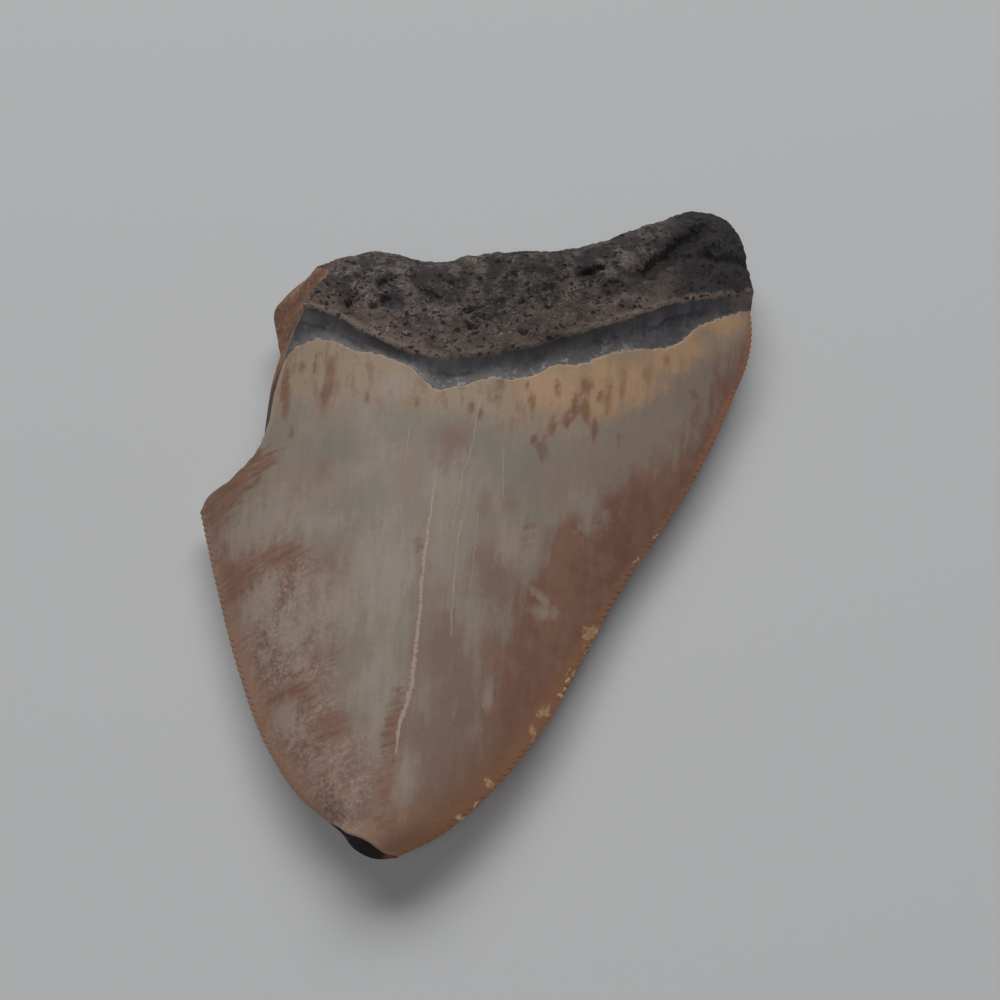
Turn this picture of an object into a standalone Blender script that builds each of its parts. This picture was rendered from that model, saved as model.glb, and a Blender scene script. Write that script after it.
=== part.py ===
"""A fossil megalodon tooth, lying on its flat outer face with its inner face up.

The tooth formed as one piece, so it is one solid. It is modelled in metres from sizes in millimetres,
+Z up, the blade pointing to -Y, with the origin under the middle of its outline.

The solid starts as two flat sheets of rows and columns, one for each face. A row runs from the left
rim to the right rim and a column from the tip to the root, so both faces share every point of the rim.
The sheets are then folded into shape: a plan of the outline gives each point its x and y, and the
height profiles of the two faces give it its z.
"""

import math

import bmesh
import bpy
import numpy as np
from mathutils import Vector, noise

MM = 0.001

# ---- driving dimensions, in millimetres -------------------------------------------------------------

SERRATIONS_PER_ROW = 2
SERRATION_DEPTH = 0.14

# The outline in plan, each curve from the tip towards the root.
RIGHT_CUTTING_EDGE = [(-6.4, -42.3), (-2.7, -39.9), (2.1, -34.7), (7.2, -26.6), (11.2, -17.1), (15.2, -8.0),
                      (20.2, 1.3), (24.2, 10.2), (26.9, 17.9), (28.5, 22.9), (29.0, 27.0), (28.8, 30.4)]
LEFT_CUTTING_EDGE = [(-13.6, -39.3), (-16.8, -37.1), (-21.4, -31.8), (-26.0, -23.5), (-30.6, -13.1),
                     (-34.4, -3.6)]
SHOULDER_BREAK = [(-34.4, -3.6), (-34.1, -2.7), (-31.1, -0.9), (-28.9, 1.7), (-28.6, 5.0), (-28.9, 8.5),
                  (-29.1, 11.8)]
LOBE_BREAK_FOOT = [(-29.1, 11.8), (-29.2, 14.2), (-29.1, 16.5), (-28.8, 19.4)]
LOBE_BREAK_END = [(-28.8, 19.4), (-29.8, 22.3), (-30.6, 25.6), (-28.9, 28.9)]
RIGHT_LOBE_FOOT = [(28.8, 30.4), (29.0, 32.4)]
RIGHT_LOBE_END = [(29.0, 32.4), (28.4, 36.2), (27.6, 40.2), (26.0, 43.4)]

# The curves that cross the tooth, each from left to right.
TIP_CHIP = [(-13.6, -39.3), (-12.4, -40.1), (-10.7, -41.8), (-8.6, -42.6), (-6.4, -42.3)]
ENAMEL_LINE = [(-29.1, 11.8), (-26.6, 12.2), (-25.4, 13.9), (-23.8, 14.9), (-22.0, 15.1), (-19.6, 14.2),
               (-17.4, 13.2), (-15.6, 13.0), (-13.3, 12.1), (-11.9, 11.7), (-10.4, 10.6), (-8.9, 9.2),
               (-7.7, 8.5), (-6.3, 9.0), (-3.9, 9.9), (-1.8, 10.9), (0.6, 11.0), (2.9, 12.0), (4.8, 13.5),
               (8.0, 14.6), (10.6, 16.2), (13.0, 17.8), (16.5, 19.0), (19.4, 20.8), (21.4, 23.4),
               (24.5, 26.5), (28.8, 30.4)]
ROOT_LINE = [(-28.8, 19.4), (-24.5, 19.1), (-21.5, 18.1), (-17.0, 15.5), (-12.0, 13.2), (-7.0, 12.5),
             (-2.3, 13.4), (7.1, 17.8), (14.6, 22.3), (19.4, 25.7), (24.4, 28.9), (29.0, 32.4)]
OUTER_ENAMEL_LINE = [(-29.1, 11.8), (-20.0, 16.6), (-8.0, 18.6), (5.0, 20.6), (18.0, 25.0), (28.8, 30.4)]
OUTER_ROOT_LINE = [(-28.8, 19.4), (-20.0, 18.4), (-8.0, 20.0), (5.0, 22.2), (18.0, 26.6), (29.0, 32.4)]
ROOT_BASE = [(-28.9, 28.9), (-25.2, 28.6), (-21.5, 30.7), (-16.8, 31.8), (-12.5, 31.2), (-8.8, 30.8),
             (-6.2, 31.9), (3.0, 34.2), (8.2, 35.9), (12.6, 38.6), (17.0, 41.8), (20.6, 44.0), (23.4, 44.4),
             (26.0, 43.4)]

# Heights above the surface it lies on, as (y, z) along the tooth.
RIM_HEIGHT = [(-43.0, 6.4), (-36.0, 5.5), (-28.0, 4.8), (-18.0, 4.4), (-4.0, 4.2), (12.0, 4.6), (24.0, 5.4),
              (31.0, 6.2), (38.0, 7.2), (46.0, 7.6)]
CREST_HEIGHT = [(-43.0, 8.2), (-38.0, 8.7), (-31.0, 9.6), (-22.0, 11.0), (-12.0, 12.4), (0.0, 13.8),
                (10.0, 15.0), (18.0, 16.1), (26.0, 17.0), (34.0, 16.6), (46.0, 15.4)]
BELLY_HEIGHT = [(-43.0, 5.7), (-36.0, 4.1), (-28.0, 2.4), (-18.0, 0.9), (-10.0, 0.1), (-4.0, -0.2),
                (4.0, 0.0), (12.0, 0.5), (18.0, 0.6), (23.0, 0.0), (28.0, -0.9), (36.0, -0.7), (46.0, 0.2)]
FLOOR = 0.0  # what would reach lower is worn flat here, and the tooth rests on it

# Where the left side ran before it broke: the cross-sections are still those of the whole tooth.
LOST_LEFT_SIDE = [(-37.0, 2.0), (-40.4, 10.0), (-43.4, 20.0), (-45.0, 30.0)]

# The broken left side leans out from its top edge to the rim and curves in from there to its foot: how
# far it leans, as (y, run), how high it rises over that, as (y, rise), and how far it curves in.
BREAK_RUN = [(-43.0, 0.7), (-2.0, 0.8), (1.7, 1.8), (5.0, 2.9), (8.5, 3.4), (12.0, 4.2), (14.5, 4.8),
             (19.0, 5.2), (24.0, 6.3), (46.0, 6.6)]
BREAK_TOP_RISE = [(-43.0, 12.0), (19.0, 12.0), (24.0, 8.2), (46.0, 8.2)]
BREAK_FOOT_RUN = [(-43.0, 0.7), (4.0, 0.8), (10.0, 1.6), (14.5, 2.6), (19.0, 5.5), (24.0, 7.8), (46.0, 7.8)]
BREAK_FOOT_DROP = 6.0
CHIP_RUN = 1.0
CHIP_RISE = 2.4

BASE_ROUNDING_INNER = 8.5  # the root's end, from its rim up to the inner face
BASE_ROUNDING_OUTER = 6.0
ENAMEL_STEP = 0.40  # the enamel stands this much proud of the neck
NECK_HOLLOW = 0.35
ROOT_LUMP = 0.65
ROOT_LUMP_SIZE = 5.0
LOBE_GROOVE_DEPTH = 0.9
LOBE_GROOVE_WIDTH = 1.6
LOBE_GROOVE = [(14.7, 28.0), (19.2, 34.2), (22.6, 38.8)]

# The sheets' rows and columns.
BLADE_ROWS = 48
SHOULDER_ROW = 26  # the row at which the left cutting edge ends
NECK_ROWS = 3
ROOT_ROWS = 11
NECK_TOP = BLADE_ROWS + NECK_ROWS
ROWS = NECK_TOP + ROOT_ROWS
COLUMNS = 36
THIN_ROWS = 14  # below this row, near the tip, every other column is left out
SERRATION_CUTS = 3
RIM_CROWDING = 0.45  # how much closer the columns stand at the rims than in the middle

# How sharp-edged a row's cross-section is: 1 is a lens with sharp edges, and near 0 it is a slab.
SHARPNESS = [(0, 0.85), (BLADE_ROWS - 8, 0.90), (BLADE_ROWS, 0.82), (NECK_TOP, 0.66), (ROWS, 0.36)]

TOOTH_COLOUR = (0.26, 0.19, 0.15, 1.0)
TOOTH_ROUGHNESS = 0.45


# ---- curves and profiles ----------------------------------------------------------------------------


def hermite(at, value, slope, where):
    """The value at a place on the smooth curve through points with the given slopes."""
    where = min(max(where, at[0]), at[-1])
    i = min(int(np.searchsorted(at, where, side="right")) - 1, len(at) - 2)
    span = at[i + 1] - at[i]
    t = (where - at[i]) / span
    ends = (2 * t - 3) * t * t * (value[i] - value[i + 1]) + value[i]
    return ends + span * t * (t - 1) * ((t - 1) * slope[i] + t * slope[i + 1])


class Profile:
    """A height or width that goes smoothly through (position, value) points without overshooting them."""

    def __init__(self, points):
        self.at, self.value = (np.array(column, float) for column in zip(*points))
        steps = np.diff(self.value) / np.diff(self.at)
        before, after = steps[:-1], steps[1:]
        same_way = before * after > 0
        mean = np.where(same_way, 2 * before * after / np.where(same_way, before + after, 1.0), 0.0)
        self.slope = np.concatenate([steps[:1], mean, steps[-1:]])

    def __call__(self, where):
        return hermite(self.at, self.value, self.slope, where)


class Outline:
    """A smooth plan curve through points, read by the fraction of its length."""

    def __init__(self, points, samples=240):
        xy = np.array(points, float)
        at = np.concatenate([[0.0], np.cumsum(np.linalg.norm(np.diff(xy, axis=0), axis=1))])
        slope = np.gradient(xy, at, axis=0)
        self.xy = np.array([[hermite(at, xy[:, i], slope[:, i], where) for i in (0, 1)]
                            for where in np.linspace(0.0, at[-1], samples)])
        length = np.concatenate([[0.0], np.cumsum(np.linalg.norm(np.diff(self.xy, axis=0), axis=1))])
        self.fraction = length / length[-1]

    def __call__(self, fraction):
        return Vector((float(np.interp(fraction, self.fraction, self.xy[:, 0])),
                       float(np.interp(fraction, self.fraction, self.xy[:, 1]))))


right_cutting_edge = Outline(RIGHT_CUTTING_EDGE)
left_cutting_edge = Outline(LEFT_CUTTING_EDGE)
shoulder_break = Outline(SHOULDER_BREAK)
lobe_break = [Outline(LOBE_BREAK_FOOT), Outline(LOBE_BREAK_END)]
right_lobe = [Outline(RIGHT_LOBE_FOOT), Outline(RIGHT_LOBE_END)]
tip_chip = Outline(TIP_CHIP)
root_base = Outline(ROOT_BASE)
inner_lines = [tip_chip, Outline(ENAMEL_LINE), Outline(ROOT_LINE), root_base]
outer_lines = [tip_chip, Outline(OUTER_ENAMEL_LINE), Outline(OUTER_ROOT_LINE), root_base]

rim_height = Profile(RIM_HEIGHT)
crest_height = Profile(CREST_HEIGHT)
belly_height = Profile(BELLY_HEIGHT)
sharpness = Profile(SHARPNESS)
left_side = Profile([(y, x) for x, y in LEFT_CUTTING_EDGE + LOST_LEFT_SIDE])
right_side = Profile([(y, x) for x, y in RIGHT_CUTTING_EDGE + RIGHT_LOBE_FOOT[1:] + RIGHT_LOBE_END[1:]])
break_run = Profile(BREAK_RUN)
break_top_rise = Profile(BREAK_TOP_RISE)
break_foot_run = Profile(BREAK_FOOT_RUN)
lobe_groove = Outline(LOBE_GROOVE)


# ---- the plan ---------------------------------------------------------------------------------------


def section_of(row):
    """The stretch of the tooth that a row lies in, 0 blade, 1 neck or 2 root, and how far along it."""
    if row <= BLADE_ROWS:
        return 0, row / BLADE_ROWS
    if row <= NECK_TOP:
        return 1, ((row - BLADE_ROWS) / NECK_ROWS) ** 1.6
    return 2, math.sin((row - NECK_TOP) / ROOT_ROWS * math.pi / 2)


def left_rim(section, along):
    if section:
        return lobe_break[section - 1](along)
    row = along * BLADE_ROWS
    if row <= SHOULDER_ROW:
        return left_cutting_edge(row / SHOULDER_ROW)
    return shoulder_break((row - SHOULDER_ROW) / (BLADE_ROWS - SHOULDER_ROW))


def right_rim(section, along):
    return right_lobe[section - 1](along) if section else right_cutting_edge(along)


def plan(lines, row, across):
    """Where a row and a share of the width lie in plan, between the curves that bound their section."""
    section, along = section_of(row)
    low, high = lines[section], lines[section + 1]
    left, right = left_rim(section, along), right_rim(section, along)
    between = low(across).lerp(high(across), along)
    corners = low(0).lerp(high(0), along).lerp(low(1).lerp(high(1), along), across)
    return between + left.lerp(right, across) - corners


def spread(column):
    """The share of the width at a column, with the columns closer together near the rims."""
    share = column / COLUMNS
    return share - RIM_CROWDING * math.sin(2 * math.pi * share) / (2 * math.pi)


# ---- the heights ------------------------------------------------------------------------------------


def rounded(distance, radius):
    """0 at a rim and 1 past the radius, along a quarter circle."""
    short = 1 - min(distance / radius, 1.0)
    return math.sqrt(max(0.0, 1 - short * short))


def soft_minimum(a, b, blend=0.5):
    share = max(0.0, min(1.0, 0.5 + 0.5 * (b - a) / blend))
    return b + (a - b) * share - blend * share * (1 - share)


class Place:
    """A point of the plan, with its distances to the rims and how full the cross-section is there."""

    def __init__(self, lines, row, across):
        self.section, self.along = section_of(row)
        self.xy = plan(lines, row, across)
        self.rim = rim_height(self.xy.y)
        self.broken = row > SHOULDER_ROW
        self.from_left = (self.xy - left_rim(self.section, self.along)).length
        self.from_tip = (self.xy - tip_chip(across)).length
        self.from_base = (self.xy - root_base(across)).length
        left, right = left_side(self.xy.y), right_side(self.xy.y)
        share = (self.xy.x - left) / (right - left)
        self.fullness = max(0.0, 4 * share * (1 - share)) ** sharpness(row)


def lobe_groove_at(xy):
    nearest = np.min(np.linalg.norm(lobe_groove.xy - np.array(xy), axis=1))
    return LOBE_GROOVE_DEPTH * math.exp(-((nearest / LOBE_GROOVE_WIDTH) ** 2))


def inner_height(place):
    """The bulging inner face: enamel, then the neck a step lower, then the lumpy root."""
    z = place.rim + (crest_height(place.xy.y) - place.rim) * place.fullness
    if place.section == 1:
        z -= ENAMEL_STEP * (1 - place.along) + NECK_HOLLOW * math.sin(math.pi * place.along)
    if place.section == 2:
        lump = noise.fractal(Vector((place.xy.x, place.xy.y, 0.0)) / ROOT_LUMP_SIZE, 1.0, 2.0, 3)
        z += ROOT_LUMP * lump * min(1.0, 3 * place.along)
        z -= lobe_groove_at(place.xy)
        z = place.rim + (z - place.rim) * rounded(place.from_base, BASE_ROUNDING_INNER)
    if place.broken:
        slope = break_top_rise(place.xy.y) / break_run(place.xy.y)
        z = soft_minimum(z, place.rim + slope * place.from_left)
    return soft_minimum(z, place.rim + CHIP_RISE * place.from_tip / CHIP_RUN)


def outer_height(place):
    """The flatter outer face, which the tooth lies on."""
    z = place.rim + (belly_height(place.xy.y) - place.rim) * place.fullness
    if place.section == 2:
        z = place.rim + (z - place.rim) * rounded(place.from_base, BASE_ROUNDING_OUTER)
    if place.broken:
        drop = BREAK_FOOT_DROP * rounded(place.from_left, break_foot_run(place.xy.y))
        z = max(z, place.rim - drop)
    return max(z, FLOOR)


# ---- the solid --------------------------------------------------------------------------------------


def on_cutting_edge(row, column):
    return row <= BLADE_ROWS and column == COLUMNS or row <= SHOULDER_ROW and column == 0


def flat_sheet():
    """A sheet of rows and columns, whose x is the column and y the row of each point."""
    sheet = bmesh.new()
    bmesh.ops.create_grid(sheet, x_segments=COLUMNS, y_segments=ROWS, size=0.5)
    for vert in sheet.verts:
        vert.co = Vector((round((vert.co.x + 0.5) * COLUMNS), round((vert.co.y + 0.5) * ROWS), 0))
    thin_columns_at_tip(sheet)
    cut_rims_for_serrations(sheet)
    corners = [face for face in sheet.faces if sum(edge.is_boundary for edge in face.edges) > 1]
    bmesh.ops.poke(sheet, faces=corners)
    return sheet


def thin_columns_at_tip(sheet):
    spare = [edge for edge in sheet.edges
             if edge.verts[0].co.x == edge.verts[1].co.x and edge.verts[0].co.x % 2
             and 1 < edge.verts[0].co.x < COLUMNS - 1 and max(v.co.y for v in edge.verts) <= THIN_ROWS]
    bmesh.ops.dissolve_edges(sheet, edges=spare, use_verts=True)


def cut_rims_for_serrations(sheet):
    """Cuts the edges along both cutting rims, and along the columns next to them, into shorter ones."""
    long_edges = []
    for edge in sheet.edges:
        columns = {round(v.co.x) for v in edge.verts}
        top_row = max(v.co.y for v in edge.verts)
        if columns in ({COLUMNS}, {COLUMNS - 1}) and top_row <= BLADE_ROWS:
            long_edges.append(edge)
        if columns in ({0}, {1}) and top_row <= SHOULDER_ROW:
            long_edges.append(edge)
    bmesh.ops.subdivide_edges(sheet, edges=long_edges, cuts=SERRATION_CUTS)


def notch(row):
    """1 in a notch between two serrations and 0 on a serration's point."""
    return 0.5 - 0.5 * math.cos(2 * math.pi * SERRATIONS_PER_ROW * row)


def plan_centre():
    """The middle of the outline in plan, which stands over the origin."""
    cutting_edges = [right_cutting_edge, left_cutting_edge]
    ends = [shoulder_break, tip_chip, root_base, *lobe_break, *right_lobe]
    xy = np.concatenate([rim.xy for rim in cutting_edges + ends])
    return Vector((*(xy.min(axis=0) + xy.max(axis=0)) / 2, 0))


def folded(column, row, lines, height):
    """The point of the tooth, in millimetres, for a point of the flat sheet."""
    across = spread(column)
    place = Place(lines, row, across)
    xy = place.xy
    z = height(place)
    if on_cutting_edge(row, column):
        opposite = (left_rim if column else right_rim)(place.section, place.along)
        xy = xy + (opposite - xy).normalized() * SERRATION_DEPTH * notch(row)
    return Vector((xy.x, xy.y, z))


def build_tooth():
    tooth = flat_sheet()
    inner_verts = list(tooth.verts)
    made = bmesh.ops.duplicate(tooth, geom=tooth.verts[:] + tooth.edges[:] + tooth.faces[:])
    outer = made["geom"]
    bmesh.ops.reverse_faces(tooth, faces=[item for item in outer if isinstance(item, bmesh.types.BMFace)])
    outer_verts = [item for item in outer if isinstance(item, bmesh.types.BMVert)]
    rim_verts = [vert for vert in tooth.verts if vert.is_boundary]
    faces = ((inner_verts, inner_lines, inner_height), (outer_verts, outer_lines, outer_height))
    for verts, lines, height in faces:
        for vert in verts:
            column, row = vert.co.x, vert.co.y
            on_rim = vert.is_boundary
            vert.co = folded(column, row, lines, height)
            if on_rim:
                vert.co.z = rim_height(vert.co.y)
    bmesh.ops.remove_doubles(tooth, verts=rim_verts, dist=1e-4)
    bmesh.ops.triangulate(tooth, faces=tooth.faces)
    bmesh.ops.translate(tooth, verts=tooth.verts, vec=-plan_centre())
    bmesh.ops.scale(tooth, verts=tooth.verts, vec=(MM, MM, MM))
    mesh = bpy.data.meshes.new("tooth")
    tooth.to_mesh(mesh)
    tooth.free()
    mesh.shade_smooth()
    mesh.set_sharp_from_angle(angle=math.radians(40))
    return mesh


def tooth_material():
    material = bpy.data.materials.new("fossil_tooth")
    material.use_nodes = True
    shader = material.node_tree.nodes["Principled BSDF"]
    shader.inputs["Base Color"].default_value = TOOTH_COLOUR
    shader.inputs["Roughness"].default_value = TOOTH_ROUGHNESS
    shader.inputs["Metallic"].default_value = 0.0
    return material


def main():
    for old in list(bpy.data.objects):
        bpy.data.objects.remove(old)
    mesh = build_tooth()
    mesh.materials.append(tooth_material())
    bpy.context.scene.collection.objects.link(bpy.data.objects.new("tooth", mesh))


main()
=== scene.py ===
"""The looks of a fossil megalodon tooth that lies on its flat outer face.

The tooth is one closed piece. It starts as two flat sheets of rows and columns, one for each face, finer
where the tooth has fine relief. The sheets are folded into shape by the outline and the height profiles,
and the rough root and the serrations' grooves are then raised or sunk along the surface. Fields of
numbers on the mesh say where each stain and crack lies, and one material turns them into enamel, neck,
root and broken dentine. Sizes are in millimetres and turned into metres at the end.
"""

import math
from types import SimpleNamespace

import bmesh
import bpy
import numpy as np
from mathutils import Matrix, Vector, noise


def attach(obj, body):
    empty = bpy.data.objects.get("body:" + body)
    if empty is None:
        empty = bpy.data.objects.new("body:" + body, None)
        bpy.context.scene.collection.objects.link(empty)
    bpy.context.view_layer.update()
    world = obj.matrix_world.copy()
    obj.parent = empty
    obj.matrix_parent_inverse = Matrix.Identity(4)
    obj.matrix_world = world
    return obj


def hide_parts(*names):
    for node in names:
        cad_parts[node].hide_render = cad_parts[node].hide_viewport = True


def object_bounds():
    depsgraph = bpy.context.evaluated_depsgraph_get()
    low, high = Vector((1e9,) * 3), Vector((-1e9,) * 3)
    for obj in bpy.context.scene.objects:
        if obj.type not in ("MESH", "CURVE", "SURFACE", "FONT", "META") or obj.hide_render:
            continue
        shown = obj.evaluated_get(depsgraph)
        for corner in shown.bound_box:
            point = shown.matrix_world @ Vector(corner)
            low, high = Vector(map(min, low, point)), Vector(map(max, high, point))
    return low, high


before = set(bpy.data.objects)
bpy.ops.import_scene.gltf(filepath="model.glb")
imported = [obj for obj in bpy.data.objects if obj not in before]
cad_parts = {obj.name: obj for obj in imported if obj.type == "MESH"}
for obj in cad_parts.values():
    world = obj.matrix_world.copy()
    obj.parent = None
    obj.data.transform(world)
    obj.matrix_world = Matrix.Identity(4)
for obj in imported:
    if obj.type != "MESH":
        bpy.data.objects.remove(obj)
cad_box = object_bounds()

MM = 0.001

# ---- curves and profiles ----


def hermite(at, value, slope, where):
    """The values at some places on the smooth curve through points with the given slopes."""
    where = np.clip(where, at[0], at[-1])
    i = np.clip(np.searchsorted(at, where, side="right") - 1, 0, len(at) - 2)
    span = at[i + 1] - at[i]
    t = (where - at[i]) / span
    ends = (2 * t - 3) * t * t * (value[i] - value[i + 1]) + value[i]
    return ends + span * t * (t - 1) * ((t - 1) * slope[i] + t * slope[i + 1])


class Profile:
    """A height or width that goes smoothly through (position, value) points without overshooting them."""

    def __init__(self, points):
        self.at, self.value = (np.array(column, float) for column in zip(*points))
        steps = np.diff(self.value) / np.diff(self.at)
        before, after = steps[:-1], steps[1:]
        same_way = before * after > 0
        mean = np.where(same_way, 2 * before * after / np.where(same_way, before + after, 1.0), 0.0)
        self.slope = np.concatenate([steps[:1], mean, steps[-1:]])

    def __call__(self, where):
        return hermite(self.at, self.value, self.slope, where)


class Outline:
    """A smooth plan curve through points, read by the fraction of its length."""

    def __init__(self, points, samples=240):
        xy = np.array(points, float)
        at = np.concatenate([[0.0], np.cumsum(np.linalg.norm(np.diff(xy, axis=0), axis=1))])
        slope = np.gradient(xy, at, axis=0)
        where = np.linspace(0.0, at[-1], samples)
        self.xy = np.stack([hermite(at, xy[:, i], slope[:, i], where) for i in (0, 1)], axis=1)
        length = np.concatenate([[0.0], np.cumsum(np.linalg.norm(np.diff(self.xy, axis=0), axis=1))])
        self.fraction = length / length[-1]

    def __call__(self, fraction):
        return np.stack([np.interp(fraction, self.fraction, self.xy[:, i]) for i in (0, 1)], axis=-1)

    def y_at(self, x):
        """The curve's y at each x, for a curve that crosses the tooth from left to right."""
        return np.interp(x, self.xy[:, 0], self.xy[:, 1])

    def distance(self, xy):
        """How far each point lies from the curve."""
        return np.min([np.hypot(*(xy - point).T) for point in self.xy[::4]], axis=0)


# ---- the tooth's sizes, in millimetres ----

RIGHT_CUTTING_EDGE = [
    (-6.4, -42.3), (-2.7, -39.9), (2.1, -34.7), (7.2, -26.6), (11.2, -17.1), (15.2, -8), (20.2, 1.3),
    (24.2, 10.2), (26.9, 17.9), (28.5, 22.9), (29, 27), (28.8, 30.4),
]
LEFT_CUTTING_EDGE = [
    (-13.6, -39.3), (-16.8, -37.1), (-21.4, -31.8), (-26, -23.5), (-30.6, -13.1), (-34.4, -3.6),
]
shoulder_break = Outline([
    (-34.4, -3.6), (-34.1, -2.7), (-31.1, -0.9), (-28.9, 1.7), (-28.6, 5), (-28.9, 8.5), (-29.1, 11.8),
])
lobe_break = [Outline([(-29.1, 11.8), (-29.2, 14.2), (-29.1, 16.5), (-28.8, 19.4)]),
              Outline([(-28.8, 19.4), (-29.8, 22.3), (-30.6, 25.6), (-28.9, 28.9)])]
RIGHT_LOBE_FOOT = [(28.8, 30.4), (29, 32.4)]
RIGHT_LOBE_END = [(29, 32.4), (28.4, 36.2), (27.6, 40.2), (26, 43.4)]
LOST_LEFT_SIDE = [(-37, 2), (-40.4, 10), (-43.4, 20), (-45, 30)]

tip_chip = Outline([(-13.6, -39.3), (-12.4, -40.1), (-10.7, -41.8), (-8.6, -42.6), (-6.4, -42.3)])
enamel_line = Outline([
    (-29.1, 11.8), (-26.6, 12.2), (-25.4, 13.9), (-23.8, 14.9), (-22, 15.1), (-19.6, 14.2), (-17.4, 13.2),
    (-15.6, 13), (-13.3, 12.1), (-11.9, 11.7), (-10.4, 10.6), (-8.9, 9.2), (-7.7, 8.5), (-6.3, 9),
    (-3.9, 9.9), (-1.8, 10.9), (0.6, 11), (2.9, 12), (4.8, 13.5), (8, 14.6), (10.6, 16.2), (13, 17.8),
    (16.5, 19), (19.4, 20.8), (21.4, 23.4), (24.5, 26.5), (28.8, 30.4),
])
root_line = Outline([
    (-28.8, 19.4), (-24.5, 19.1), (-21.5, 18.1), (-17, 15.5), (-12, 13.2), (-7, 12.5), (-2.3, 13.4),
    (7.1, 17.8), (14.6, 22.3), (19.4, 25.7), (24.4, 28.9), (29, 32.4),
])
outer_enamel_line = Outline([(-29.1, 11.8), (-20, 16.6), (-8, 18.6), (5, 20.6), (18, 25), (28.8, 30.4)])
outer_root_line = Outline([(-28.8, 19.4), (-20, 18.4), (-8, 20), (5, 22.2), (18, 26.6), (29, 32.4)])
root_base = Outline([
    (-28.9, 28.9), (-25.2, 28.6), (-21.5, 30.7), (-16.8, 31.8), (-12.5, 31.2), (-8.8, 30.8), (-6.2, 31.9),
    (3, 34.2), (8.2, 35.9), (12.6, 38.6), (17, 41.8), (20.6, 44), (23.4, 44.4), (26, 43.4),
])

right_cutting_edge = Outline(RIGHT_CUTTING_EDGE)
left_cutting_edge = Outline(LEFT_CUTTING_EDGE)
right_lobe = [Outline(RIGHT_LOBE_FOOT), Outline(RIGHT_LOBE_END)]
INNER_LINES = [tip_chip, enamel_line, root_line, root_base]
OUTER_LINES = [tip_chip, outer_enamel_line, outer_root_line, root_base]

left_side = Profile([(y, x) for x, y in LEFT_CUTTING_EDGE + LOST_LEFT_SIDE])
right_side = Profile([(y, x) for x, y in RIGHT_CUTTING_EDGE + RIGHT_LOBE_FOOT[1:] + RIGHT_LOBE_END[1:]])

# Heights above the surface it lies on, as (y, z) along the tooth.
rim_height = Profile([
    (-43, 6.4), (-36, 5.5), (-28, 4.8), (-18, 4.4), (-4, 4.2), (12, 4.6), (24, 5.4), (31, 6.2), (38, 7.2),
    (46, 7.6),
])
crest_height = Profile([
    (-43, 8.2), (-38, 8.7), (-31, 9.6), (-22, 11), (-12, 12.4), (0, 13.8), (10, 15), (18, 16.1), (26, 17),
    (34, 16.6), (46, 15.4),
])
belly_height = Profile([
    (-43, 5.7), (-36, 4.1), (-28, 2.4), (-18, 0.9), (-10, 0.1), (-4, -0.2), (4, 0), (12, 0.5), (18, 0.6),
    (23, 0), (28, -0.9), (36, -0.7), (46, 0.2),
])
FLOOR = 0.0

# The broken left side leans out from its top edge to the rim and curves in from there to its foot: how
# far it leans, as (y, run), how high it rises over that, as (y, rise), and how far it curves in.
break_run = Profile([
    (-43, 0.7), (-2, 0.8), (1.7, 1.8), (5, 2.9), (8.5, 3.4), (12, 4.2), (14.5, 4.8), (19, 5.2), (24, 6.3),
    (46, 6.6),
])
break_top_rise = Profile([(-43, 12), (19, 12), (24, 8.2), (46, 8.2)])
break_foot_run = Profile([(-43, 0.7), (4, 0.8), (10, 1.6), (14.5, 2.6), (19, 5.5), (24, 7.8), (46, 7.8)])
BREAK_FOOT_DROP = 6.0
CHIP_RUN = 1.0
CHIP_RISE = 2.4

BASE_ROUNDING_INNER = 8.5
BASE_ROUNDING_OUTER = 6.0
ENAMEL_STEP = 0.40
ENAMEL_STEP_RUN = (-0.12, 0.28)
NECK_HOLLOW = 0.35
INNER_SLANT = 0.86  # turns a distance along the tooth into one square to the neck's slanting lines
OUTER_SLANT = 0.95

# ---- the rows and columns of the sheets ----

BLADE_ROWS = 48
SHOULDER_ROW = 26
NECK_ROWS = 3
NECK_CROWDING = 1.6
ROOT_ROWS = 11
NECK_TOP = BLADE_ROWS + NECK_ROWS
ROWS = NECK_TOP + ROOT_ROWS
COLUMNS = 36
TIP_ROW = 8  # below this row the columns stay as coarse as they began, because they run together there
RIM_CROWDING = 0.45
OUTER_AT = 1.0  # the heights that tell the outer sheet and the rim from the inner sheet
RIM_AT = 0.5
SERRATIONS_PER_ROW = 2
sharpness = Profile([(0, 0.85), (BLADE_ROWS - 8, 0.9), (BLADE_ROWS, 0.82), (NECK_TOP, 0.66), (ROWS, 0.36)])

# ---- the relief, in millimetres ----

SERRATION_DEPTH = 0.14
SERRATION_GROOVE = 0.08
SERRATION_REACH = 0.7
ROOT_LUMP = 0.65
ROOT_LUMP_SIZE = 5.0
ROOT_GRAIN = 0.19
ROOT_GRAIN_SIZE = 1.0
ROOT_LIP = 0.30
RIM_RAGGEDNESS = 0.26
RIM_RAGGEDNESS_SIZE = 0.7
RIM_IN_BREAK = 0.3
PORE_DEPTH = 0.32
PORE_SPACING = 1.15
POROUS_PATCH = 4.0
HOLLOW_WARP = 0.45
HOLLOW_WARP_SIZE = 0.9
LIP_REACH = 2.5
GROOVE_FADE = 3.0
RELIEF_LOST_IN_BREAK = 0.7

FAR_OFF = 9.0  # stands for any distance that is too long to matter
NO_EDGE = 99.0  # the same for points that belong to no cutting edge

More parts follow.
